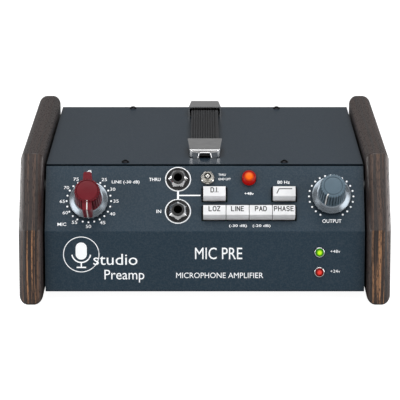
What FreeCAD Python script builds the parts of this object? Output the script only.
"""A tabletop microphone preamp: a folded steel case between two wooden cheeks, with a carrying strap.

Units are millimetres. +Z is up, -Y is the front with the controls, and the origin lies on the table under
the middle of the object. Each sub-part is written to parts/NODE.step.
"""

import FreeCAD
import Part
import math
import os
from FreeCAD import Vector

# ---- case -----------------------------------------------------------------------------------------
BODY_WIDTH = 240.0  # steel case between the cheeks
SHEET = 1.5  # tray and cover
SIDE_SHEET = 2.0
UPPER_TILT = 34.0  # the control face leans back this much from the vertical
UPPER_LENGTH = 53.2  # along the control face, fold to top edge
LOWER_TILT = 6.5
LOWER_LENGTH = 46.5  # along the name face, bottom edge to fold
COVER_DEPTH = 192.0  # where the control face's plane meets the cover's top, to the rear edge of the cover
FACE_TOP = 51.6  # the control face itself ends here; the rest up to the cover is the dark seam
COVER_SETBACK = 1.3  # front edge of the cover behind the control face's plane
COVER_UNDERCUT = 1.2  # lean of that edge, so only a thin lip shows over the seam
BEND_OUT = 1.9  # outside radius of a bend
BEND_IN = 0.5
REAR_RECESS = 3.0  # rear panel in from the rear edge of the cover
FLANGE = 16.0  # turned edges that the cover screws reach
SLIP = 0.1  # between sheets that nest
COVER_LIP = 6.0  # turned-down rear edge of the cover

# ---- cheeks ---------------------------------------------------------------------------------------
CHEEK_GAP = 1.4  # dark slot between the case and each cheek, kept by pressed bosses
CHEEK_BOSS_RADIUS = 6.0
CHEEK_THICKNESS = 17.8
CHEEK_FRONT_MARGIN = 10.0  # wood standing out in front of the panel
CHEEK_TOP_MARGIN = 10.2
CHEEK_BOTTOM_MARGIN = 6.7
CHEEK_REAR_MARGIN = -3.0
CHEEK_ROUNDING = 6.4
CHEEK_CORNER = 1.2

# ---- feet and screws ------------------------------------------------------------------------------
FOOT_HEIGHT = 8.3
FOOT_RADIUS = 8.0
FOOT_TAPER = 1.0
FOOT_INSET_X = 22.0  # foot axis in from the side of the case
FOOT_INSET_FRONT = 48.0
FOOT_INSET_REAR = 26.0
THREAD_SLIP = 0.05  # a screw in its own thread
M3 = 1.5  # shank radii
M4 = 2.0
WOOD_SCREW = 1.7
BUTTON_HEAD_RADIUS = 3.2
BUTTON_HEAD_HEIGHT = 1.8
COVER_SCREW_X = 60.5
COVER_SCREW_FRONT = 7.0  # from where the control face's plane meets the top
COVER_SCREW_REAR = 6.8  # from the rear edge of the cover
BASE_SCREW_REAR = 10.0

# ---- knobs (heights are above the control face) ---------------------------------------------------
GAIN_X, GAIN_T = -87.35, 23.9  # T runs up the control face from the fold
OUTPUT_X, OUTPUT_T = 95.3, 27.6
KNOB_TOP = 25.0
KNOB_RADIUS_TOP = 9.5
KNOB_RADIUS_BASE = 10.2
KNOB_SEAT = 6.2
FLUTES = 28
FLUTE_RADIUS = 0.9
FLUTE_SINK = 0.25  # flute axis inside the knob's base radius
SKIRT_RADIUS = 14.65
SKIRT_BOTTOM = 0.9
SKIRT_RIM = 3.9
SKIRT_WALL = 1.2
WING_REACH = 15.0
WING_ROOT = 7.2
WING_TIP = 6.6
GAIN_DISC_RADIUS = 7.9
OUTPUT_DISC_RADIUS = 6.7
DISC_GROOVE = 0.45
SHAFT_RADIUS = 3.0
SHAFT_TOP = 17.5
RUNNING = 0.06  # radial clearance of a turning shaft
GAIN_BUSH_RADIUS = 4.95
POT_BUSH_RADIUS = 4.45
BUSH_TOP = 3.8
PANEL_HOLE_SLIP = 0.15
WAFERS = 3
WAFER_PITCH = 9.0
WAFER_RADIUS = 16.5
WAFER_THICKNESS = 1.6
POT_RADIUS = 12.0
POT_DEPTH = 12.5

# ---- push buttons ---------------------------------------------------------------------------------
CAP_WIDTH = 16.9
CAP_HEIGHT = 9.2  # up the control face
CAP_PROUD = 6.7
CAP_BELOW = 2.0
BEVEL_RISE = 1.4  # how far the lower bevel eats into the cap's face
BEVEL_DROP = 4.6
CAP_PITCH = 17.35
CAP_COLUMN = 7.25  # x of the first column
LOWER_ROW_T = 14.05
UPPER_ROW_T = 28.9
CUTOUT_MARGIN = 1.3
HIGHPASS_SHIFT = 0.5  # the upper right key stands a little out of its column
BUTTON_TRAVEL = 3.5
SWITCH_TOP = -7.0  # front of the switch bodies
SWITCH_DEPTH = 22.0
SWITCH_WIDTH = 16.2
SWITCH_HEIGHT = 9.6
PLUNGER = 6.0
SLIDE = 0.2  # clearance round a sliding piece

# ---- top row of the control face ------------------------------------------------------------------
TOP_ROW_T = 41.3
JACK_X = -20.2
JACK_PITCH = 25.5
JACK_BORE = 3.25
JACK_BUSH = 4.75
JACK_BUSH_TOP = 5.0
JACK_DEPTH = 26.0
JACK_BODY = 15.0
JACK_NUT_FLATS = 12.7
JACK_NUT_HEIGHT = 2.6
JACK_WASHER_RADIUS = 8.8
JACK_WASHER = 1.0
TOGGLE_X, TOGGLE_T = 2.1, 42.1
TOGGLE_BUSH = 3.0
TOGGLE_BUSH_TOP = 5.6
TOGGLE_PIVOT = 1.0
TOGGLE_THROW = 26.0  # from one side to the other
TOGGLE_TIP = 16.0
TOGGLE_NUT_FLATS = 8.8
TOGGLE_PIN = 0.6  # radius of the lever's cross pin
TOGGLE_PIN_REACH = 1.55
PHANTOM_X, PHANTOM_T = 33.4, 42.0
PHANTOM_RADIUS = 5.2
PHANTOM_SIDE = 3.6
PHANTOM_TOP = 5.8
PHANTOM_TRAVEL = 2.5
PHANTOM_FRAME = 14.0
PHANTOM_DEPTH = 18.0

# ---- lamps on the name face -----------------------------------------------------------------------
LED_X = 86.2
LED_GREEN_T = -15.9  # T runs down from the fold
LED_RED_T = -31.0
LED_RADIUS = 2.5
LED_BEZEL_RADIUS = 3.92
LED_SLEEVE = 3.2
LED_DEPTH = 7.0

# ---- carrying strap -------------------------------------------------------------------------------
HANDLE_FRONT = 19.0  # front end of the front cap, from the front edge of the cover
HANDLE_LENGTH = 166.0
CAP_LENGTH = 29.2
CAP_END_WIDTH = 23.0
CAP_MOUTH_WIDTH = 27.0
CAP_END_HEIGHT = 7.5
CAP_MOUTH_HEIGHT = 8.2
CAP_WALL = 1.0
CAP_CORNER = 3.0
STRAP_WIDTH = 22.2
STRAP_THICKNESS = 4.6
STRAP_LIFT = 1.3  # underside above the cover
TAB_THICKNESS = 2.3
TAB_LENGTH = 27.3
HINGE_GAP = 0.3
HANDLE_SCREW_INSET = 10.0  # from the outer end of a cap
SLOT_FLOAT = 5.1
SLOT_SPARE = 0.7  # of it towards the cap's mouth, for the strap's first moment of lift
SLOT_RADIUS = 2.8
POST_RADIUS = 2.5  # pillar inside a cap, through the strap's slot
STRAP_RISE = 16.0  # how far the strap lifts at each end, in degrees

# ---- rear connectors ------------------------------------------------------------------------------
FLANGE_WIDTH = 26.0
FLANGE_HEIGHT = 31.0
FLANGE_THICK = 2.2
SHELL_RADIUS = 11.6
SHELL_DEPTH = 20.0
SOCKET_RADIUS = 9.6
INSERT_RADIUS = 8.0
SOCKET_DEPTH = 14.0
PIN_RADIUS = 1.15
PIN_CIRCLE = 5.0
PIN_LENGTH = 12.0
CONNECTOR_Z = 44.0  # above the underside of the case
MIC_X, LINE_X, POWER_X = -84.0, -48.0, 84.0
CONNECTOR_SCREW_X = 9.5
CONNECTOR_SCREW_Z = 12.0
LATCH_WIDTH = 7.0
LATCH_HEIGHT = 3.0
LATCH_PROUD = 3.0
LATCH_TRAVEL = 1.6
LATCH_DEPTH = 8.0

# ---- boards and parts inside ----------------------------------------------------------------------
BOARD = 1.6
BOARD_LIFT = 8.0
BOARD_WIDTH = 196.0
BOARD_INSET_FRONT = 52.0
BOARD_INSET_REAR = 34.0
STANDOFF_RADIUS = 3.5
STANDOFF_INSET = 7.0
INPUT_CORE = (32.0, 28.0, 30.0)
OUTPUT_CORE = (46.0, 38.0, 40.0)
COIL_PROUD = 6.0
CAN_RADIUS = 9.0
CAN_HEIGHT = 32.0
CAN_PITCH = 22.0
CANS = 4
HEATSINK_BASE = 3.0
HEATSINK_FIN = 1.6
HEATSINK_FINS = 6
HEATSINK_SIZE = (44.0, 30.0, 26.0)
RIBBON = 0.9
RIBBON_WIDTH = 26.0

# ---- places worked out from the sizes above -------------------------------------------------------
UPPER = math.radians(UPPER_TILT)
LOWER = math.radians(LOWER_TILT)
FRONT_REACH = CHEEK_FRONT_MARGIN / math.cos(LOWER) + CHEEK_BOTTOM_MARGIN * math.tan(LOWER)
CASE_DEPTH = LOWER_LENGTH * math.sin(LOWER) + UPPER_LENGTH * math.sin(UPPER) + COVER_DEPTH
REAR_REACH = max(CHEEK_REAR_MARGIN, FLANGE_THICK + LATCH_PROUD - REAR_RECESS)
FRONT_Y = -(CASE_DEPTH + REAR_REACH - FRONT_REACH) / 2  # bottom edge of the name face
REAR_Y = FRONT_Y + CASE_DEPTH
BOTTOM_Z = FOOT_HEIGHT
FOLD = Vector(0, FRONT_Y + LOWER_LENGTH * math.sin(LOWER), BOTTOM_Z + LOWER_LENGTH * math.cos(LOWER))
TOP_Y = FOLD.y + UPPER_LENGTH * math.sin(UPPER)
TOP_Z = FOLD.z + UPPER_LENGTH * math.cos(UPPER)
HALF = BODY_WIDTH / 2
FLOOR_Z = BOTTOM_Z + SHEET  # inside face of the tray
REAR_FACE_Y = REAR_Y - REAR_RECESS
COVER_FRONT_Y = TOP_Y + COVER_SETBACK
ROW_X = [CAP_COLUMN + i * CAP_PITCH for i in range(4)]
JACK_T = [TOP_ROW_T, TOP_ROW_T - JACK_PITCH]
BUTTONS = {
    "di_button": (ROW_X[0], UPPER_ROW_T),
    "highpass_button": (ROW_X[3] + HIGHPASS_SHIFT, UPPER_ROW_T),
    "low_impedance_button": (ROW_X[0], LOWER_ROW_T),
    "line_button": (ROW_X[1], LOWER_ROW_T),
    "pad_button": (ROW_X[2], LOWER_ROW_T),
    "phase_button": (ROW_X[3], LOWER_ROW_T),
}
HANDLE_FRONT_Y = TOP_Y + HANDLE_FRONT
HANDLE_REAR_Y = HANDLE_FRONT_Y + HANDLE_LENGTH
MOUTH_FRONT_Y = HANDLE_FRONT_Y + CAP_LENGTH
MOUTH_REAR_Y = HANDLE_REAR_Y - CAP_LENGTH
STRAP_MIDDLE_Y = (MOUTH_FRONT_Y + MOUTH_REAR_Y) / 2
STRAP_LOW = TOP_Z + STRAP_LIFT
STRAP_HIGH = STRAP_LOW + STRAP_THICKNESS
BOARD_LOW_Z = FLOOR_Z + BOARD_LIFT
BOARD_TOP_Z = BOARD_LOW_Z + BOARD
BOARD_FRONT_Y = FRONT_Y + BOARD_INSET_FRONT
BOARD_REAR_Y = REAR_Y - BOARD_INSET_REAR
CONTROL_BOARD_N = SWITCH_TOP - SWITCH_DEPTH
CONNECTOR_XS = [MIC_X, LINE_X, POWER_X]


# ---- small tools ----------------------------------------------------------------------------------
def block(x0, x1, y0, y1, z0, z1):
    return Part.makeBox(x1 - x0, y1 - y0, z1 - z0, Vector(x0, y0, z0))


def slab(x, y, width, depth, z0, z1):
    """A box centred on x, y."""
    return block(x - width / 2, x + width / 2, y - depth / 2, y + depth / 2, z0, z1)


def rod(radius, z0, z1, x=0.0, y=0.0):
    return Part.makeCylinder(radius, z1 - z0, Vector(x, y, z0))


def ring(outer, inner, z0, z1, x=0.0, y=0.0):
    return rod(outer, z0, z1, x, y).cut(rod(inner, z0 - 1, z1 + 1, x, y))


def prism(points, direction):
    """A solid drawn out from a closed outline."""
    corners = [Vector(*p) for p in points]
    return Part.Face(Part.makePolygon(corners + corners[:1])).extrude(Vector(*direction))


def lathe(points):
    """A solid turned about the Z axis from an outline of (radius, height) points."""
    corners = [Vector(r, 0, z) for r, z in points]
    return Part.Face(Part.makePolygon(corners + corners[:1])).revolve(Vector(), Vector(0, 0, 1), 360)


def hexagon(flats, z0, z1, x=0.0, y=0.0):
    radius = flats / math.sqrt(3)
    angles = [math.radians(60 * i) for i in range(6)]
    corners = [(x + radius * math.cos(a), y + radius * math.sin(a), z0) for a in angles]
    return prism(corners, (0, 0, z1 - z0))


def fused(shapes):
    whole = shapes[0].fuse(shapes[1:]) if len(shapes) > 1 else shapes[0]
    return whole.removeSplitter()


def placed(shape, x_axis, y_axis, z_axis, origin):
    """The shape carried from its own axes to those three directions at the origin."""
    matrix = FreeCAD.Matrix(
        x_axis.x, y_axis.x, z_axis.x, origin.x,
        x_axis.y, y_axis.y, z_axis.y, origin.y,
        x_axis.z, y_axis.z, z_axis.z, origin.z,
        0, 0, 0, 1,
    )  # fmt: skip
    made = shape.copy()
    made.Placement = FreeCAD.Placement(matrix).multiply(made.Placement)
    return made


def face_axes(tilt):
    """Right, up the face, and out of it, for a front face that leans back by tilt."""
    up = Vector(0, math.sin(tilt), math.cos(tilt))
    return Vector(1, 0, 0), up, Vector(0, -math.cos(tilt), math.sin(tilt))


def on_upper(shape, x=0.0, t=0.0):
    right, up, out = face_axes(UPPER)
    return placed(shape, right, up, out, FOLD + right * x + up * t)


def on_lower(shape, x=0.0, t=0.0):
    right, up, out = face_axes(LOWER)
    return placed(shape, right, up, out, FOLD + right * x + up * t)


def on_rear(shape, x=0.0, z=0.0):
    """Carries a shape to the rear panel's outer face, seen from behind: its X points to -X and its Y up."""
    return placed(shape, Vector(-1, 0, 0), Vector(0, 0, 1), Vector(0, 1, 0), Vector(x, REAR_FACE_Y, z))


def edges_along_x(shape, at_least):
    found = []
    for edge in shape.Edges:
        ends = [v.Point for v in edge.Vertexes]
        if len(ends) == 2 and abs(ends[0].x - ends[1].x) > at_least:
            if abs(ends[0].y - ends[1].y) < 1e-6 and abs(ends[0].z - ends[1].z) < 1e-6:
                found.append((edge, ends[0].y, ends[0].z))
    return found


def case_profile(inset):
    """The case's outline in the YZ plane, moved in by inset on every side: bottom front first, going up."""
    top = TOP_Z - inset
    bottom = BOTTOM_Z + inset
    out_upper = Vector(0, -math.cos(UPPER), math.sin(UPPER))
    out_lower = Vector(0, -math.cos(LOWER), math.sin(LOWER))

    def where(normal, z):
        """The y on the face with that outward normal, inset, at height z."""
        reach = normal.y * FOLD.y + normal.z * FOLD.z - inset
        return (reach - normal.z * z) / normal.y

    det = out_lower.y * out_upper.z - out_lower.z * out_upper.y
    low = out_lower.dot(FOLD) - inset
    high = out_upper.dot(FOLD) - inset
    fold_y = (low * out_upper.z - high * out_lower.z) / det
    fold_z = (out_lower.y * high - out_upper.y * low) / det
    return [
        (where(out_lower, bottom), bottom),
        (fold_y, fold_z),
        (where(out_upper, top), top),
        (REAR_Y - inset, top),
        (REAR_Y - inset, bottom),
    ]


# ---- sheet metal ----------------------------------------------------------------------------------
def chassis_tray():
    """Bottom, name face and control face bent from one sheet, with the rail under the cover."""
    outer = case_profile(0.0)
    inner = case_profile(SHEET)
    edge = (FOLD.y + FACE_TOP * math.sin(UPPER), FOLD.z + FACE_TOP * math.cos(UPPER))
    edge_inner = (edge[0] + SHEET / math.cos(UPPER), edge[1])
    outline = [(REAR_Y, BOTTOM_Z), outer[0], outer[1], edge, edge_inner, inner[1], inner[0]]
    outline.append((REAR_Y, FLOOR_Z))
    sheet = prism([(-HALF, y, z) for y, z in outline], (BODY_WIDTH, 0, 0))
    bends = {0: outer[0], 1: outer[1], 2: inner[1], 3: inner[0]}
    for number, (y, z) in bends.items():
        radius = BEND_OUT if number < 2 else BEND_IN
        near = [e for e, ey, ez in edges_along_x(sheet, 1.0) if abs(ey - y) < 1e-4 and abs(ez - z) < 1e-4]
        sheet = sheet.makeFillet(radius, near)
    lip = [e for e, y, z in edges_along_x(sheet, 1.0) if abs(y - edge[0]) < 1e-4 and abs(z - edge[1]) < 1e-4]
    sheet = sheet.makeFillet(BEND_IN, lip)
    rail_top = TOP_Z - SHEET - SLIP
    rail_y = inner[2][0]
    rail = block(-HALF, HALF, rail_y - 1.4, rail_y + FLANGE, rail_top - SHEET, rail_top)
    tray = fused([sheet, rail])
    holes = [on_upper(rod(GAIN_BUSH_RADIUS + PANEL_HOLE_SLIP, -9, 9), GAIN_X, GAIN_T)]
    holes.append(on_upper(rod(POT_BUSH_RADIUS + PANEL_HOLE_SLIP, -9, 9), OUTPUT_X, OUTPUT_T))
    holes += [on_upper(rod(JACK_BUSH + PANEL_HOLE_SLIP, -9, 9), JACK_X, t) for t in JACK_T]
    holes.append(on_upper(rod(TOGGLE_BUSH + PANEL_HOLE_SLIP, -9, 9), TOGGLE_X, TOGGLE_T))
    holes.append(on_upper(rod(PHANTOM_RADIUS + 2 * SLIDE, -9, 9), PHANTOM_X, PHANTOM_T))
    wide, tall = CAP_WIDTH + 2 * CUTOUT_MARGIN, CAP_HEIGHT + 2 * CUTOUT_MARGIN
    for x in (ROW_X[0], ROW_X[3] + HIGHPASS_SHIFT):
        holes.append(on_upper(slab(0, 0, wide, tall, -9, 9), x, UPPER_ROW_T))
    row = slab(0, 0, wide + 3 * CAP_PITCH, tall, -9, 9)
    holes.append(on_upper(row, (ROW_X[0] + ROW_X[3]) / 2, LOWER_ROW_T))
    lamp = rod(LED_SLEEVE + PANEL_HOLE_SLIP, -9, 9)
    holes += [on_lower(lamp, LED_X, t) for t in (LED_GREEN_T, LED_RED_T)]
    for x in (-COVER_SCREW_X, COVER_SCREW_X):
        holes.append(rod(M3 + THREAD_SLIP, rail_top - 9, rail_top + 1, x, TOP_Y + COVER_SCREW_FRONT))
    holes += [rod(M3 + PANEL_HOLE_SLIP, BOTTOM_Z - 1, FLOOR_Z + 1, x, y) for x, y in base_screw_places()]
    holes += [rod(M4 + THREAD_SLIP, BOTTOM_Z - 1, FLOOR_Z + 1, x, y) for x, y in foot_places()]
    holes += [rod(M3 + THREAD_SLIP, BOTTOM_Z - 1, FLOOR_Z + 1, x, y) for x, y in standoff_places()]
    return tray.cut(Part.makeCompound(holes))


def top_cover():
    """Flat lid with a lip turned down along its rear edge."""
    low = TOP_Z - SHEET
    front, back = COVER_FRONT_Y, REAR_Y
    under = front + COVER_UNDERCUT
    outline = [(front, TOP_Z), (front, TOP_Z - BEND_IN), (under, low), (back, low), (back, TOP_Z)]
    lid = prism([(-HALF, y, z) for y, z in outline], (BODY_WIDTH, 0, 0))
    lip = block(-HALF, HALF, REAR_Y - SHEET, REAR_Y, TOP_Z - COVER_LIP, TOP_Z)
    lid = fused([lid, lip])
    bend = [e for e, y, z in edges_along_x(lid, 1.0) if abs(y - REAR_Y) < 1e-4 and abs(z - TOP_Z) < 1e-4]
    lid = lid.makeFillet(BEND_OUT, bend)
    holes = [rod(M3 + PANEL_HOLE_SLIP, low - 1, TOP_Z + 1, x, y) for x, y in cover_screw_places()]
    holes += [rod(M3 + PANEL_HOLE_SLIP, low - 1, TOP_Z + 1, 0, y) for y in handle_screw_ys()]
    return lid.cut(Part.makeCompound(holes))


def rear_panel():
    """Rear wall with turned edges top and bottom, connector holes and vent slots."""
    low, high = FLOOR_Z, TOP_Z - SHEET - SLIP
    inside = HALF - SIDE_SHEET - SLIP
    back = REAR_FACE_Y
    wall = block(-inside, inside, back - SHEET, back, low, high)
    top = block(-inside, inside, back - FLANGE, back, high - SHEET, high)
    bottom = block(-inside + FLANGE, inside - FLANGE, back - FLANGE, back, low, low + SHEET)
    panel = fused([wall, top, bottom])
    holes = []
    for x in CONNECTOR_XS:
        holes.append(on_rear(rod(SHELL_RADIUS + PANEL_HOLE_SLIP, -9, 9), x, BOTTOM_Z + CONNECTOR_Z))
        for dx, dz in connector_screw_offsets():
            thread = rod(M3 + THREAD_SLIP, -9, 9)
            holes.append(on_rear(thread, x + dx, BOTTOM_Z + CONNECTOR_Z + dz))
    latch = slab(0, 0, LATCH_WIDTH + 2 * SLIDE, LATCH_HEIGHT + 2 * SLIDE, -9, 9)
    holes.append(on_rear(latch, MIC_X, BOTTOM_Z + CONNECTOR_Z + latch_rise()))
    slot_count, slot_pitch, slot_width, slot_height = 12, 6.0, 2.4, 34.0
    for i in range(slot_count):
        x = (i - (slot_count - 1) / 2) * slot_pitch + (LINE_X + POWER_X) / 2
        slot = slab(0, 0, slot_width, slot_height, -9, 9)
        holes.append(on_rear(slot, x, BOTTOM_Z + CONNECTOR_Z))
    for x in (-COVER_SCREW_X, COVER_SCREW_X):
        holes.append(rod(M3 + THREAD_SLIP, high - 9, high + 1, x, REAR_Y - COVER_SCREW_REAR))
        holes.append(rod(M3 + THREAD_SLIP, low - 1, low + 9, x, REAR_Y - BASE_SCREW_REAR))
    clear = BUTTON_HEAD_RADIUS + 0.8
    screw_y = handle_screw_ys()[1]
    holes.append(rod(clear, high - 9, high + 1, 0, screw_y))
    holes.append(block(-clear, clear, screw_y - FLANGE, screw_y, high - 9, high + 1))
    return panel.cut(Part.makeCompound(holes))


def side_plate(side):
    """Inner side wall that nests in the tray and carries a cheek. side is -1 at the left."""
    inset = SHEET + SLIP
    outline = case_profile(inset)
    rail_low = TOP_Z - 2 * SHEET - 2 * SLIP
    rear = REAR_Y - SHEET - SLIP
    high = TOP_Z - SHEET - SLIP
    lean = math.tan(UPPER) * (rail_low - outline[2][1])
    outline = [outline[0], outline[1], (outline[2][0] + lean, rail_low)]
    rail_end = TOP_Y + FLANGE + SHEET
    panel_front = REAR_FACE_Y + SLIP
    outline += [(rail_end + SLIP, rail_low), (rail_end + SLIP, high), (rear, high), (rear, outline[0][1])]
    outer = side * HALF
    inner = side * (HALF - SIDE_SHEET)
    plate = prism([(min(outer, inner), y, z) for y, z in outline], (SIDE_SHEET, 0, 0))
    bends = []
    for edge, y, z in edges_along_x(plate, 1.0):
        if min(math.hypot(y - corner[0], z - corner[1]) for corner in outline[:2]) < 0.01:
            bends.append(edge)
    plate = plate.makeFillet(BEND_OUT, bends)
    reach = side * (HALF - FLANGE)
    flange_y = FRONT_Y + FLANGE
    low, high_z = outline[0][1], outline[0][1] + SIDE_SHEET
    flange = block(min(outer, reach), max(outer, reach), flange_y, panel_front - FLANGE, low, high_z)
    bosses = []
    for y, z in cheek_screw_places():
        start = Vector(outer - side * SHEET, y, z)
        bosses.append(Part.makeCylinder(CHEEK_BOSS_RADIUS, SHEET + CHEEK_GAP, start, Vector(side, 0, 0)))
    plate = fused([plate, flange] + bosses)
    holes = []
    for y, z in cheek_screw_places():
        start = Vector(inner - side * 4, y, z)
        drill = Part.makeCylinder(WOOD_SCREW + PANEL_HOLE_SLIP, 9, start, Vector(side, 0, 0))
        holes.append(drill)
    for x, y in base_screw_places():
        if x * side > COVER_SCREW_X + 1:
            holes.append(rod(M3 + THREAD_SLIP, low - 1, high_z + 1, x, y))
    return plate.cut(Part.makeCompound(holes))


# ---- places of fasteners --------------------------------------------------------------------------
def cover_screw_places():
    rows = (TOP_Y + COVER_SCREW_FRONT, REAR_Y - COVER_SCREW_REAR)
    return [(x, y) for y in rows for x in (-COVER_SCREW_X, COVER_SCREW_X)]


def base_screw_places():
    """Two in each side plate's flange and two in the rear panel's."""
    x = HALF - FLANGE / 2 - SIDE_SHEET / 2
    rows = (FRONT_Y + 2 * FLANGE, REAR_FACE_Y - 2.5 * FLANGE)
    sides = [(sx * x, y) for y in rows for sx in (-1, 1)]
    return sides + [(sx * COVER_SCREW_X, REAR_Y - BASE_SCREW_REAR) for sx in (-1, 1)]


def foot_places():
    x = HALF - FOOT_INSET_X - FLANGE / 2
    return [(sx * x, y) for y in (FRONT_Y + FOOT_INSET_FRONT, REAR_Y - FOOT_INSET_REAR) for sx in (-1, 1)]


def cheek_screw_places():
    middle_z = (BOTTOM_Z + TOP_Z) / 2
    front, rear = TOP_Y + 12.0, REAR_Y - 34.0
    return [(y, z) for y in (front, rear) for z in (middle_z - 20.0, middle_z + 24.0)]


def standoff_places():
    x = BOARD_WIDTH / 2 - STANDOFF_INSET
    rows = (BOARD_FRONT_Y + STANDOFF_INSET, BOARD_REAR_Y - STANDOFF_INSET)
    return [(sx * x, y) for y in rows for sx in (-1, 1)]


def handle_screw_ys():
    return [HANDLE_FRONT_Y + HANDLE_SCREW_INSET, HANDLE_REAR_Y - HANDLE_SCREW_INSET]


def connector_screw_offsets():
    return [(CONNECTOR_SCREW_X, CONNECTOR_SCREW_Z), (-CONNECTOR_SCREW_X, -CONNECTOR_SCREW_Z)]


def latch_rise():
    """Height of the latch tab's middle over its connector's axis."""
    return SOCKET_RADIUS + 1.4 + LATCH_HEIGHT / 2


# ---- wood -----------------------------------------------------------------------------------------
def cheek(side):
    """A wooden end cheek that follows the case's outline with a margin, every edge rounded over."""
    out_upper = Vector(0, -math.cos(UPPER), math.sin(UPPER))
    out_lower = Vector(0, -math.cos(LOWER), math.sin(LOWER))
    top, bottom = TOP_Z + CHEEK_TOP_MARGIN, BOTTOM_Z - CHEEK_BOTTOM_MARGIN
    rear = REAR_Y + CHEEK_REAR_MARGIN
    reach_upper = out_upper.dot(FOLD) + CHEEK_FRONT_MARGIN
    reach_lower = out_lower.dot(FOLD) + CHEEK_FRONT_MARGIN
    det = out_lower.y * out_upper.z - out_lower.z * out_upper.y
    fold = (
        (reach_lower * out_upper.z - reach_upper * out_lower.z) / det,
        (out_lower.y * reach_upper - out_upper.y * reach_lower) / det,
    )
    outline = [
        ((reach_lower - out_lower.z * bottom) / out_lower.y, bottom),
        fold,
        ((reach_upper - out_upper.z * top) / out_upper.y, top),
        (rear, top),
        (rear, bottom),
    ]
    start = HALF + CHEEK_GAP if side > 0 else -HALF - CHEEK_GAP - CHEEK_THICKNESS
    board = prism([(start, y, z) for y, z in outline], (CHEEK_THICKNESS, 0, 0))
    board = board.makeFillet(CHEEK_CORNER, [e for e, _, _ in edges_along_x(board, 1.0)])
    rims = [e for e in board.Edges if e.BoundBox.XLength < 1e-6]
    board = board.makeFillet(CHEEK_ROUNDING, rims)
    pilots = []
    for y, z in cheek_screw_places():
        start = Vector(side * (HALF - 1), y, z)
        pilots.append(Part.makeCylinder(WOOD_SCREW + THREAD_SLIP, 13.5, start, Vector(side, 0, 0)))
    return board.cut(Part.makeCompound(pilots))


# ---- screws and feet ------------------------------------------------------------------------------
def button_head_screw(shank, length, head_radius=BUTTON_HEAD_RADIUS, head_height=BUTTON_HEAD_HEIGHT):
    """A domed screw with a hexagon socket, its head's underside at height 0, pointing down."""
    dome_radius = (head_radius**2 + head_height**2) / (2 * head_height)
    ball = Part.makeSphere(dome_radius, Vector(0, 0, head_height - dome_radius))
    head = ball.common(rod(head_radius, 0, head_height))
    socket = hexagon(head_radius * 0.68, head_height * 0.4, head_height + 1)
    return fused([head, rod(shank, -length, 0.2)]).cut(socket)


def case_screws():
    """Four in the cover and six in the underside, all alike."""
    screw = button_head_screw(M3, 7.0)
    turned = screw.rotated(Vector(), Vector(1, 0, 0), 180)
    top = [screw.translated(Vector(x, y, TOP_Z)) for x, y in cover_screw_places()]
    base = [turned.translated(Vector(x, y, BOTTOM_Z)) for x, y in base_screw_places()]
    return Part.makeCompound(top + base)


def cheek_screws():
    """Pan head screws driven from inside the case into both cheeks."""
    made = []
    for side in (-1, 1):
        screw = button_head_screw(WOOD_SCREW, 13.5, 3.4, 2.0)
        turned = screw.rotated(Vector(), Vector(0, 1, 0), -90 * side)
        x = side * (HALF - SIDE_SHEET)
        made += [turned.translated(Vector(x, y, z)) for y, z in cheek_screw_places()]
    return Part.makeCompound(made)


def rubber_feet():
    foot = lathe([
        (M4 + SLIDE, 0.55 * FOOT_HEIGHT), (FOOT_RADIUS * 0.55, 0.55 * FOOT_HEIGHT), (FOOT_RADIUS * 0.55, 0),
        (FOOT_RADIUS - FOOT_TAPER - 0.8, 0), (FOOT_RADIUS - FOOT_TAPER, 0.8), (FOOT_RADIUS, FOOT_HEIGHT),
        (M4 + SLIDE, FOOT_HEIGHT),
    ])  # fmt: skip
    return Part.makeCompound([foot.translated(Vector(x, y, 0)) for x, y in foot_places()])


def foot_screws():
    screw = button_head_screw(M4, 8.5, 3.7, 2.2).rotated(Vector(), Vector(1, 0, 0), 180)
    seat = 0.55 * FOOT_HEIGHT
    return Part.makeCompound([screw.translated(Vector(x, y, seat)) for x, y in foot_places()])


# ---- carrying strap -------------------------------------------------------------------------------
def handle_cap():
    """A pressed end cap in its own frame: outer end at y 0, mouth at y CAP_LENGTH, standing on z 0."""
    end, mouth = CAP_END_WIDTH / 2, CAP_MOUTH_WIDTH / 2

    def shell(wall, open_by):
        """The cap's outside moved in by wall, and drawn past the mouth by open_by."""
        far = CAP_LENGTH + open_by
        spread = mouth - wall + (mouth - end) * open_by / CAP_LENGTH
        slope = (CAP_MOUTH_HEIGHT - CAP_END_HEIGHT) / CAP_LENGTH
        plan = [(-end + wall, wall), (end - wall, wall), (spread, far), (-spread, far)]
        base = prism([(x, y, -wall) for x, y in plan], (0, 0, CAP_MOUTH_HEIGHT + 2 * wall + 2))
        upright = [e for e in base.Edges if e.BoundBox.ZLength > 1 and e.BoundBox.YMin < wall + 0.01]
        base = base.makeFillet(CAP_CORNER - wall, upright)
        low, high = CAP_END_HEIGHT - wall, CAP_END_HEIGHT - wall + slope * far
        roof = prism([(-50, 0, -5), (-50, 0, low), (-50, far, high), (-50, far, -5)], (100, 0, 0))
        return base.common(roof)

    outside = shell(0.0, 0.0)
    ridge = [e for e in outside.Edges if e.BoundBox.ZMin > CAP_END_HEIGHT - 0.01 and e.BoundBox.YMin < 0.5]
    outside = outside.makeFillet(0.8, ridge)
    cap = outside.cut(shell(CAP_WALL, 5.0))
    arch = Part.makeCylinder(5.0, 4, Vector(0, -2, -1.2), Vector(0, 1, 0))
    cap = cap.cut(arch)
    post = rod(POST_RADIUS, 0, CAP_END_HEIGHT - CAP_WALL / 2, 0, HANDLE_SCREW_INSET)
    cap = fused([cap, post])
    return cap.cut(rod(M3 + THREAD_SLIP, -1, 5.0, 0, HANDLE_SCREW_INSET))


def handle_screws():
    """Driven up from inside the case, through the cover, into the caps' posts."""
    screw = button_head_screw(M3, SHEET + 4.5).rotated(Vector(), Vector(1, 0, 0), 180)
    return Part.makeCompound([screw.translated(Vector(0, y, TOP_Z - SHEET)) for y in handle_screw_ys()])


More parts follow.
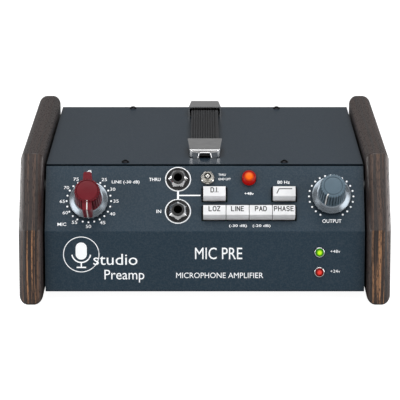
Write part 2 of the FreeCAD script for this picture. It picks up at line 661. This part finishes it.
def at_front_cap(shape):
    return shape.translated(Vector(0, HANDLE_FRONT_Y, TOP_Z))


def at_rear_cap(shape):
    return shape.rotated(Vector(), Vector(0, 0, 1), 180).translated(Vector(0, HANDLE_REAR_Y, TOP_Z))


def strap_tab():
    """The thin end of the strap inside a cap, slotted round the cap's post, in the cap's frame."""
    start = CAP_LENGTH - TAB_LENGTH
    high = STRAP_LIFT + TAB_THICKNESS
    tab = slab(0, (start + CAP_LENGTH) / 2, STRAP_WIDTH - 2.4, TAB_LENGTH, STRAP_LIFT, high)
    upright = [e for e in tab.Edges if e.BoundBox.ZLength > 1 and e.BoundBox.YMin < start + 1]
    tab = tab.makeFillet(3.0, upright)
    middle = HANDLE_SCREW_INSET + SLOT_SPARE - SLOT_FLOAT / 2
    slot = slab(0, middle, 2 * SLOT_RADIUS, SLOT_FLOAT, 0, 9)
    ends = [rod(SLOT_RADIUS, 0, 9, 0, middle + s * SLOT_FLOAT / 2) for s in (-1, 1)]
    return tab.cut(fused([slot] + ends))


def strap_half(start, end):
    bar = slab(0, (start + end) / 2, STRAP_WIDTH, end - start, STRAP_LOW, STRAP_HIGH)
    long_edges = [e for e in bar.Edges if e.BoundBox.YLength > 1]
    return bar.makeFillet(1.2, long_edges)


# ---- knobs ----------------------------------------------------------------------------------------
def knob_skirt():
    """A spun disc under a knob, hollow underneath to clear the nut."""
    bore = SHAFT_RADIUS + THREAD_SLIP
    inner = SKIRT_RADIUS - SKIRT_WALL
    outline = [(bore, KNOB_SEAT - SKIRT_WALL), (inner, SKIRT_RIM - SKIRT_WALL), (inner, SKIRT_BOTTOM)]
    outline += [(SKIRT_RADIUS - 0.3, SKIRT_BOTTOM), (SKIRT_RADIUS, SKIRT_BOTTOM + 0.3)]
    outline += [(SKIRT_RADIUS, SKIRT_RIM - 0.3), (SKIRT_RADIUS - 0.3, SKIRT_RIM)]
    outline += [(KNOB_RADIUS_BASE + 0.6, KNOB_SEAT), (bore, KNOB_SEAT)]
    return lathe(outline)


def knob_body(disc_radius):
    """A fluted knob with a groove round its top disc, on the control face's axes."""
    outline = [(0, KNOB_SEAT), (KNOB_RADIUS_BASE, KNOB_SEAT), (KNOB_RADIUS_BASE, KNOB_SEAT + 1.2)]
    outline += [(KNOB_RADIUS_TOP, KNOB_TOP - 0.8), (KNOB_RADIUS_TOP - 0.8, KNOB_TOP)]
    outline += [(disc_radius + DISC_GROOVE, KNOB_TOP), (disc_radius, KNOB_TOP - DISC_GROOVE)]
    outline += [(disc_radius - DISC_GROOVE, KNOB_TOP), (0, KNOB_TOP)]
    blank = lathe(outline)
    cuts = [rod(SHAFT_RADIUS + THREAD_SLIP, 0, SHAFT_TOP + 0.5)]
    flute = rod(FLUTE_RADIUS, KNOB_SEAT + 1.8, KNOB_TOP + 2, KNOB_RADIUS_BASE - FLUTE_SINK)
    cuts += [flute.rotated(Vector(), Vector(0, 0, 1), (i + 0.5) * 360 / FLUTES) for i in range(FLUTES)]
    return blank.cut(Part.makeCompound(cuts))


def gain_knob():
    """The winged gain knob: a fluted barrel with a bar across it that reaches the skirt's rim both ways."""
    root, tip = WING_ROOT / 2, WING_TIP / 2
    low, high = KNOB_SEAT + 0.2, KNOB_TOP - 0.7
    wings = []
    for side in (-1, 1):
        end = side * WING_REACH
        wing = prism([(-root, 0, low), (root, 0, low), (tip, end, low), (-tip, end, low)], (0, 0, high - low))
        outer = [e for e in wing.Edges if abs(e.BoundBox.Center.y) > 1]
        soft = [e for e in outer if e.BoundBox.ZMin > high - 0.01 or e.BoundBox.ZLength > 5]
        wings.append(wing.makeFillet(0.7, soft))
    core = rod(KNOB_RADIUS_TOP - 0.7, KNOB_SEAT + 0.1, KNOB_TOP - 1.0)
    whole = knob_body(GAIN_DISC_RADIUS).fuse([w.cut(core) for w in wings])
    return whole.removeSplitter()


def gain_shaft():
    """Switch spindle with its detent star."""
    end = -SHEET - 4.0 - WAFERS * WAFER_PITCH - 3.0
    arm = slab(0, 0, 17, 6, -SHEET - 6.4, -SHEET - 4.4)
    star = [arm.rotated(Vector(), Vector(0, 0, 1), 60 * i) for i in range(3)]
    return fused([rod(SHAFT_RADIUS, end, SHAFT_TOP)] + star)


def gain_switch():
    """Rotary wafer switch: threaded bush, front plate, detent ring, wafers on two tie rods."""
    bore = SHAFT_RADIUS + RUNNING
    bush = ring(GAIN_BUSH_RADIUS, bore, -SHEET - 3.0, BUSH_TOP)
    plate = ring(WAFER_RADIUS, bore, -SHEET - 2.0, -SHEET)
    wall = ring(12.0, 10.0, -SHEET - 8.4, -SHEET - 2.0)
    back = ring(12.0, bore, -SHEET - 9.4, -SHEET - 8.4)
    parts = [bush, plate, wall, back]
    for i in range(WAFERS):
        high = -SHEET - 10.0 - i * WAFER_PITCH * 0.8
        parts.append(ring(WAFER_RADIUS, SHAFT_RADIUS + 0.5, high - WAFER_THICKNESS, high))
    end = -SHEET - 12.0 - (WAFERS - 1) * WAFER_PITCH * 0.8
    parts += [rod(1.6, end, -SHEET - 1.0, 0, s * 14.0) for s in (-1, 1)]
    return fused(parts)


def output_shaft():
    return fused([rod(SHAFT_RADIUS, -SHEET - 8.0, SHAFT_TOP), rod(9.0, -SHEET - 8.0, -SHEET - 6.0)])


def output_pot():
    bore = SHAFT_RADIUS + RUNNING
    bush = ring(POT_BUSH_RADIUS, bore, -SHEET - 1.0, BUSH_TOP)
    can = rod(POT_RADIUS, -SHEET - POT_DEPTH, -SHEET).cut(rod(10.0, -SHEET - POT_DEPTH + 1.5, -SHEET - 3.0))
    can = can.cut(rod(bore, -SHEET - 4.0, 0))
    tags = [slab(x, -POT_RADIUS - 2.0, 2.4, 6.0, -SHEET - 6.0, -SHEET - 5.0) for x in (-5, 0, 5)]
    can = can.fuse([t.cut(rod(10.5, -30, 0)) for t in tags])
    return fused([bush, can])


def panel_nuts():
    """Nuts and washers of the gain switch, the output control and the toggle."""
    gain = fused([hexagon(14.0, 0.6, 3.0), rod(8.6, 0, 0.6)])
    gain = gain.cut(rod(GAIN_BUSH_RADIUS + THREAD_SLIP, -1, 9))
    pot = fused([hexagon(12.0, 0.6, 2.8), rod(7.4, 0, 0.6)]).cut(rod(POT_BUSH_RADIUS + THREAD_SLIP, -1, 9))
    toggle = fused([hexagon(TOGGLE_NUT_FLATS, 0.6, 2.6), rod(5.0, 0, 0.6)])
    toggle = toggle.cut(rod(TOGGLE_BUSH + THREAD_SLIP, -1, 9))
    placed_nuts = [on_upper(gain, GAIN_X, GAIN_T), on_upper(pot, OUTPUT_X, OUTPUT_T)]
    return Part.makeCompound(placed_nuts + [on_upper(toggle, TOGGLE_X, TOGGLE_T)])


# ---- push buttons ---------------------------------------------------------------------------------
def push_button():
    """A white key cap with a bevelled lower edge, on its square plunger, on the control face's axes."""
    half = CAP_HEIGHT / 2
    outline = [(half, -CAP_BELOW), (half, CAP_PROUD), (BEVEL_RISE - half, CAP_PROUD)]
    outline += [(-half, CAP_PROUD - BEVEL_DROP), (-half, -CAP_BELOW)]
    cap = prism([(-CAP_WIDTH / 2, t, n) for t, n in outline], (CAP_WIDTH, 0, 0))
    soft = [e for e in cap.Edges if e.BoundBox.ZMax > CAP_PROUD - 0.01]
    cap = cap.makeFillet(0.35, soft)
    low = SWITCH_TOP - SWITCH_DEPTH + BUTTON_TRAVEL + 0.8
    return fused([cap, slab(0, 0, PLUNGER, PLUNGER, low, 0)])


def push_switches():
    """Six switch frames behind the caps, each with a channel for its plunger."""
    gap = PLUNGER + 2 * SLIDE
    frame = slab(0, 0, SWITCH_WIDTH, SWITCH_HEIGHT, SWITCH_TOP - SWITCH_DEPTH, SWITCH_TOP)
    frame = frame.cut(slab(0, 0, gap, gap, SWITCH_TOP - SWITCH_DEPTH - 1, SWITCH_TOP + 1))
    return Part.makeCompound([on_upper(frame, x, t) for x, t in BUTTONS.values()])


def phantom_button():
    """The round illuminated push button: a short barrel under a shallow dome."""
    rise = PHANTOM_TOP - PHANTOM_SIDE
    dome = (PHANTOM_RADIUS**2 + rise**2) / (2 * rise)
    ball = Part.makeSphere(dome, Vector(0, 0, PHANTOM_TOP - dome))
    head = ball.common(rod(PHANTOM_RADIUS, PHANTOM_SIDE, PHANTOM_TOP))
    stem = rod(2.0, -SHEET - PHANTOM_DEPTH + PHANTOM_TRAVEL + 2.0, -4.0)
    return fused([head, rod(PHANTOM_RADIUS, -5.0, PHANTOM_SIDE), stem])


def phantom_switch():
    bore = PHANTOM_RADIUS + 2 * SLIDE
    frame = slab(0, 0, PHANTOM_FRAME, PHANTOM_FRAME, -SHEET - PHANTOM_DEPTH, -SHEET)
    well = rod(bore, -5.0 - PHANTOM_TRAVEL - 0.5, 1)
    return frame.cut(fused([well, rod(2.0 + SLIDE, -SHEET - PHANTOM_DEPTH + 1.5, 1)]))


# ---- toggle ---------------------------------------------------------------------------------------
def toggle_switch():
    box = slab(0, 0, 8.0, 13.0, -SHEET - 10.0, -SHEET)
    bush = rod(TOGGLE_BUSH, -SHEET - 1, TOGGLE_BUSH_TOP)
    body = fused([box, bush])
    low, high = -SHEET - 3.0, TOGGLE_BUSH_TOP + 0.1
    throat = lathe([(0, low), (2.4, low), (1.75, TOGGLE_PIVOT), (2.6, high), (0, high)])
    well = slab(0, 0, 4.6, 8.4, -SHEET - 8.5, -SHEET - 2.0)
    return body.cut(fused([throat, well]))


def toggle_lever():
    """Bat-shaped lever, thrown towards the bottom of the control face."""
    bat = lathe([
        (0, -7.0), (0.9, -7.0), (0.9, TOGGLE_PIVOT - 1.3), (1.25, TOGGLE_PIVOT), (0.95, TOGGLE_PIVOT + 1.3),
        (1.0, 7.0), (1.6, TOGGLE_TIP - 1.6), (1.35, TOGGLE_TIP - 0.6), (0.7, TOGGLE_TIP), (0, TOGGLE_TIP),
    ])  # fmt: skip
    start = Vector(-TOGGLE_PIN_REACH, 0, TOGGLE_PIVOT)
    pin = Part.makeCylinder(TOGGLE_PIN, 2 * TOGGLE_PIN_REACH, start, Vector(1, 0, 0))
    return fused([bat, pin]).rotated(Vector(0, 0, TOGGLE_PIVOT), Vector(1, 0, 0), TOGGLE_THROW / 2)


# ---- jacks ----------------------------------------------------------------------------------------
def jack():
    """Quarter-inch jack socket: threaded bush on a moulded body, one straight bore."""
    bush = rod(JACK_BUSH, -SHEET - 1, JACK_BUSH_TOP)
    body = slab(0, 0, JACK_BODY, JACK_BODY, -SHEET - JACK_DEPTH - 2, -SHEET)
    tags = [slab(x, 0, 1.0, 3.0, -SHEET - JACK_DEPTH - 7, -SHEET - JACK_DEPTH - 1) for x in (-4, 0, 4)]
    return fused([bush, body] + tags).cut(rod(JACK_BORE, -SHEET - JACK_DEPTH, JACK_BUSH_TOP + 1))


def jack_nuts():
    turned = (0.0, 30.0)  # the flats of the two nuts don't line up
    nuts = []
    for t, turn in zip(JACK_T, reversed(turned)):
        nut = hexagon(JACK_NUT_FLATS, JACK_WASHER, JACK_WASHER + JACK_NUT_HEIGHT)
        cone = lathe([(0, -5), (14, -5), (14, 0.6), (JACK_NUT_FLATS / 2 - 0.6, 3.6), (0, 3.6)])
        nut = nut.common(cone).rotated(Vector(), Vector(0, 0, 1), turn)
        nuts.append(on_upper(nut.cut(rod(JACK_BUSH + THREAD_SLIP, -1, 9)), JACK_X, t))
    return Part.makeCompound(nuts)


def jack_washers():
    washer = ring(JACK_WASHER_RADIUS, JACK_BUSH + PANEL_HOLE_SLIP, 0, JACK_WASHER)
    return Part.makeCompound([on_upper(washer, JACK_X, t) for t in JACK_T])


# ---- lamps ----------------------------------------------------------------------------------------
def led():
    dome = Part.makeSphere(LED_RADIUS, Vector(0, 0, 0.6))
    legs = [slab(x, 0, 0.6, 0.6, -LED_DEPTH - 8, -LED_DEPTH) for x in (-1.27, 1.27)]
    base = rod(LED_RADIUS, -LED_DEPTH + 1, 0.6)
    return fused([dome, base, rod(LED_RADIUS, -LED_DEPTH, -LED_DEPTH + 1)] + legs)


def led_bezels():
    flange = lathe([
        (LED_RADIUS + 0.1, -LED_DEPTH), (LED_SLEEVE, -LED_DEPTH), (LED_SLEEVE, 0), (LED_BEZEL_RADIUS, 0),
        (LED_BEZEL_RADIUS, 0.5), (LED_BEZEL_RADIUS - 0.7, 1.3), (LED_RADIUS + 0.1, 1.3),
    ])  # fmt: skip
    return Part.makeCompound([on_lower(flange, LED_X, t) for t in (LED_GREEN_T, LED_RED_T)])


# ---- rear connectors ------------------------------------------------------------------------------
def connector_flange():
    plate = slab(0, 0, FLANGE_WIDTH, FLANGE_HEIGHT, 0, FLANGE_THICK)
    plate = plate.makeFillet(3.0, [e for e in plate.Edges if e.BoundBox.ZLength > 1])
    shell = rod(SHELL_RADIUS, -SHELL_DEPTH, 0.1)
    holes = [rod(M3 + PANEL_HOLE_SLIP, -9, 9, -dx, dz) for dx, dz in connector_screw_offsets()]
    return fused([plate, shell]).cut(Part.makeCompound(holes))


def mic_input():
    """Three-pole socket: a round insert in an annular groove, with a slot for the latch above it."""
    body = connector_flange().cut(ring(SOCKET_RADIUS, INSERT_RADIUS, FLANGE_THICK - SOCKET_DEPTH, 9))
    holes = [rod(PIN_RADIUS + 0.15, FLANGE_THICK - PIN_LENGTH, 9, *p) for p in pole_places(3)]
    slot = slab(0, latch_rise(), LATCH_WIDTH + 2 * SLIDE, LATCH_HEIGHT + 2 * SLIDE, -30, 9)
    return body.cut(Part.makeCompound(holes + [slot]))


def mic_latch():
    """Spring-loaded release tab over the microphone socket."""
    tab = slab(0, latch_rise(), LATCH_WIDTH, LATCH_HEIGHT, -LATCH_DEPTH, FLANGE_THICK + LATCH_PROUD)
    outer = FLANGE_THICK + LATCH_PROUD - 0.01
    return tab.makeFillet(0.8, [e for e in tab.Edges if e.BoundBox.ZMin > outer])


def pole_places(count):
    """Contact positions on their circle, the gap at the top."""
    angles = [math.radians(-90 + 360 / count * (i + 0.5)) for i in range(count)]
    return [(PIN_CIRCLE * math.cos(a), PIN_CIRCLE * math.sin(a)) for a in angles]


def plug_inlet():
    """The shell of a connector with pins: a round well with a drilled floor."""
    well = rod(SOCKET_RADIUS, FLANGE_THICK - SOCKET_DEPTH, 9)
    return connector_flange().cut(well)


def pins(count):
    """Contact pins standing on the floor of the well."""
    floor = FLANGE_THICK - SOCKET_DEPTH
    nose = Part.makeSphere(PIN_RADIUS, Vector(0, 0, floor + PIN_LENGTH - 1))
    pin = fused([rod(PIN_RADIUS, floor, floor + PIN_LENGTH - 1), nose])
    return [pin.translated(Vector(x, y, 0)) for x, y in pole_places(count)]


def connector_pins():
    height = BOTTOM_Z + CONNECTOR_Z
    made = [on_rear(p, LINE_X, height) for p in pins(3)] + [on_rear(p, POWER_X, height) for p in pins(4)]
    return Part.makeCompound(made)


def connector_screws():
    made = []
    screw = button_head_screw(M3, 7.0, 2.8, 1.5).translated(Vector(0, 0, FLANGE_THICK))
    for x in CONNECTOR_XS:
        for dx, dz in connector_screw_offsets():
            made.append(on_rear(screw, x + dx, BOTTOM_Z + CONNECTOR_Z + dz))
    return Part.makeCompound(made)


# ---- boards and the parts on them -----------------------------------------------------------------
def main_board():
    board = block(-BOARD_WIDTH / 2, BOARD_WIDTH / 2, BOARD_FRONT_Y, BOARD_REAR_Y, BOARD_LOW_Z, BOARD_TOP_Z)
    drill = rod(M3 + PANEL_HOLE_SLIP, BOARD_LOW_Z - 1, BOARD_TOP_Z + 1)
    return board.cut(Part.makeCompound([drill.translated(Vector(x, y, 0)) for x, y in standoff_places()]))


def board_standoffs():
    """Pillars under the board with a stud through it and a nut on top."""
    post = fused([rod(STANDOFF_RADIUS, FLOOR_Z, BOARD_LOW_Z), rod(M3, BOTTOM_Z + 0.2, BOARD_TOP_Z + 3.0)])
    nut = hexagon(5.5, BOARD_TOP_Z, BOARD_TOP_Z + 2.4)
    post = fused([post, nut])
    return Part.makeCompound([post.translated(Vector(x, y, 0)) for x, y in standoff_places()])


def transformer(size, x, y):
    """Laminated core with its coil showing at both ends."""
    width, depth, height = size
    core = slab(x, y, width, depth, BOARD_TOP_Z, BOARD_TOP_Z + height)
    coil = slab(x, y, width * 0.62, depth + 2 * COIL_PROUD, BOARD_TOP_Z + 3, BOARD_TOP_Z + height - 4)
    coil = coil.makeFillet(3.0, [e for e in coil.Edges if e.BoundBox.ZLength > 1])
    return fused([core, coil])


def board_spots():
    """Places on the main board shared by what stands there."""
    back = BOARD_REAR_Y
    return {
        "output": (BOARD_WIDTH / 2 - 32.0, back - 34.0),
        "input": (-BOARD_WIDTH / 2 + 26.0, back - 30.0),
        "cans": (-CAN_PITCH * (CANS - 1) / 2 - 2.0, back - 26.0),
        "heatsink": (0.0, back - 76.0),
    }


def filter_capacitors():
    x, y = board_spots()["cans"]
    can = rod(CAN_RADIUS, BOARD_TOP_Z, BOARD_TOP_Z + CAN_HEIGHT)
    can = can.makeFillet(1.0, [e for e in can.Edges if e.BoundBox.ZMin > BOARD_TOP_Z + 1])
    return Part.makeCompound([can.translated(Vector(x + i * CAN_PITCH, y, 0)) for i in range(CANS)])


def heatsink():
    x, y = board_spots()["heatsink"]
    width, depth, height = HEATSINK_SIZE
    base = slab(x, y, width, depth, BOARD_TOP_Z, BOARD_TOP_Z + HEATSINK_BASE)
    pitch = (depth - HEATSINK_FIN) / (HEATSINK_FINS - 1)
    fins = []
    for i in range(HEATSINK_FINS):
        fin_y = y - depth / 2 + HEATSINK_FIN / 2 + i * pitch
        inner = 1 <= i <= HEATSINK_FINS - 2
        fin = slab(x, fin_y, width, HEATSINK_FIN, BOARD_TOP_Z + 1, BOARD_TOP_Z + height)
        fins.append(fin.cut(slab(x, y, 26.0, depth, BOARD_TOP_Z + HEATSINK_BASE, 99.0)) if inner else fin)
    return fused([base] + fins)


def output_transistor():
    x, y = board_spots()["heatsink"]
    low = BOARD_TOP_Z + HEATSINK_BASE
    flange = slab(x, y, 24.0, 15.0, low, low + 1.6)
    hat = rod(6.6, low, low + 7.0, x, y)
    return fused([flange, hat])


def control_board():
    """Board behind the push switches, parallel to the control face."""
    high = CONTROL_BOARD_N
    left, right = ROW_X[0] - CAP_PITCH / 2, ROW_X[3] + CAP_PITCH / 2
    low_t, high_t = LOWER_ROW_T - SWITCH_HEIGHT / 2 - 2.0, UPPER_ROW_T + SWITCH_HEIGHT / 2 + 4.0
    return on_upper(block(left, right, low_t, high_t, high - BOARD, high))


def ribbon_cable():
    """Flat cable from the control board's back down to the main board, held at both ends."""
    right, up, out = face_axes(UPPER)
    middle_x = (ROW_X[0] + ROW_X[3]) / 2
    start = FOLD + up * UPPER_ROW_T + out * (CONTROL_BOARD_N - BOARD)
    down_y = start.y + 26.0
    corner = Vector(0, down_y, start.z - math.tan(UPPER) * (down_y - start.y))
    wire = rounded_wire([start, corner, Vector(0, down_y, BOARD_TOP_Z)], 8.0)
    half = up * (RIBBON / 2)
    across = right * (RIBBON_WIDTH / 2)
    corners = [start - across - half, start + across - half, start + across + half, start - across + half]
    profile = Part.makePolygon(corners + corners[:1])
    swept = wire.makePipeShell([profile], True, False)
    return swept.translated(Vector(middle_x, 0, 0))


def rounded_wire(points, radius):
    """Straight runs through the points, each corner rounded by a tangent arc."""
    edges, last = [], points[0]
    for before, here, after in zip(points, points[1:], points[2:]):
        a, b = (before - here).normalize(), (after - here).normalize()
        half = a.getAngle(b) / 2
        back = radius / math.tan(half)
        first, second = here + a * back, here + b * back
        centre_way = (a + b).normalize()
        middle = here + centre_way * (radius / math.sin(half) - radius)
        edges.append(Part.LineSegment(last, first).toShape())
        edges.append(Part.Arc(first, middle, second).toShape())
        last = second
    edges.append(Part.LineSegment(last, points[-1]).toShape())
    return Part.Wire(edges)


# ---- the whole set --------------------------------------------------------------------------------
def all_parts():
    height = BOTTOM_Z + CONNECTOR_Z
    spots = board_spots()
    parts = {
        "chassis_tray": chassis_tray(),
        "top_cover": top_cover(),
        "rear_panel": rear_panel(),
        "side_plate_left": side_plate(-1),
        "side_plate_right": side_plate(1),
        "cheek_left": cheek(-1),
        "cheek_right": cheek(1),
        "cheek_screws": cheek_screws(),
        "case_screws": case_screws(),
        "rubber_feet": rubber_feet(),
        "foot_screws": foot_screws(),
        "handle_cap_front": at_front_cap(handle_cap()),
        "handle_cap_rear": at_rear_cap(handle_cap()),
        "handle_screws": handle_screws(),
        "strap_front_tab": at_front_cap(strap_tab()),
        "strap_front_half": strap_half(MOUTH_FRONT_Y + HINGE_GAP, STRAP_MIDDLE_Y - HINGE_GAP / 2),
        "strap_rear_half": strap_half(STRAP_MIDDLE_Y + HINGE_GAP / 2, MOUTH_REAR_Y - HINGE_GAP),
        "strap_rear_tab": at_rear_cap(strap_tab()),
        "gain_knob": on_upper(gain_knob(), GAIN_X, GAIN_T),
        "gain_knob_skirt": on_upper(knob_skirt(), GAIN_X, GAIN_T),
        "gain_shaft": on_upper(gain_shaft(), GAIN_X, GAIN_T),
        "gain_switch": on_upper(gain_switch(), GAIN_X, GAIN_T),
        "output_knob": on_upper(knob_body(OUTPUT_DISC_RADIUS), OUTPUT_X, OUTPUT_T),
        "output_knob_skirt": on_upper(knob_skirt(), OUTPUT_X, OUTPUT_T),
        "output_shaft": on_upper(output_shaft(), OUTPUT_X, OUTPUT_T),
        "output_pot": on_upper(output_pot(), OUTPUT_X, OUTPUT_T),
        "panel_nuts": panel_nuts(),
        "push_switches": push_switches(),
        "phantom_button": on_upper(phantom_button(), PHANTOM_X, PHANTOM_T),
        "phantom_switch": on_upper(phantom_switch(), PHANTOM_X, PHANTOM_T),
        "toggle_lever": on_upper(toggle_lever(), TOGGLE_X, TOGGLE_T),
        "toggle_switch": on_upper(toggle_switch(), TOGGLE_X, TOGGLE_T),
        "thru_jack": on_upper(jack(), JACK_X, JACK_T[0]),
        "in_jack": on_upper(jack(), JACK_X, JACK_T[1]),
        "jack_nuts": jack_nuts(),
        "jack_washers": jack_washers(),
        "led_green": on_lower(led(), LED_X, LED_GREEN_T),
        "led_red": on_lower(led(), LED_X, LED_RED_T),
        "led_bezels": led_bezels(),
        "mic_input": on_rear(mic_input(), MIC_X, height),
        "mic_latch": on_rear(mic_latch(), MIC_X, height),
        "line_output": on_rear(plug_inlet(), LINE_X, height),
        "power_inlet": on_rear(plug_inlet(), POWER_X, height),
        "connector_pins": connector_pins(),
        "connector_screws": connector_screws(),
        "main_board": main_board(),
        "board_standoffs": board_standoffs(),
        "input_transformer": transformer(INPUT_CORE, *spots["input"]),
        "output_transformer": transformer(OUTPUT_CORE, *spots["output"]),
        "filter_capacitors": filter_capacitors(),
        "heatsink": heatsink(),
        "output_transistor": output_transistor(),
        "control_board": control_board(),
        "ribbon_cable": ribbon_cable(),
    }
    for name, (x, t) in BUTTONS.items():
        parts[name] = on_upper(push_button(), x, t)
    return parts


def main():
    os.makedirs("parts", exist_ok=True)
    for name, shape in all_parts().items():
        shape.exportStep(os.path.join("parts", name + ".step"))


main()
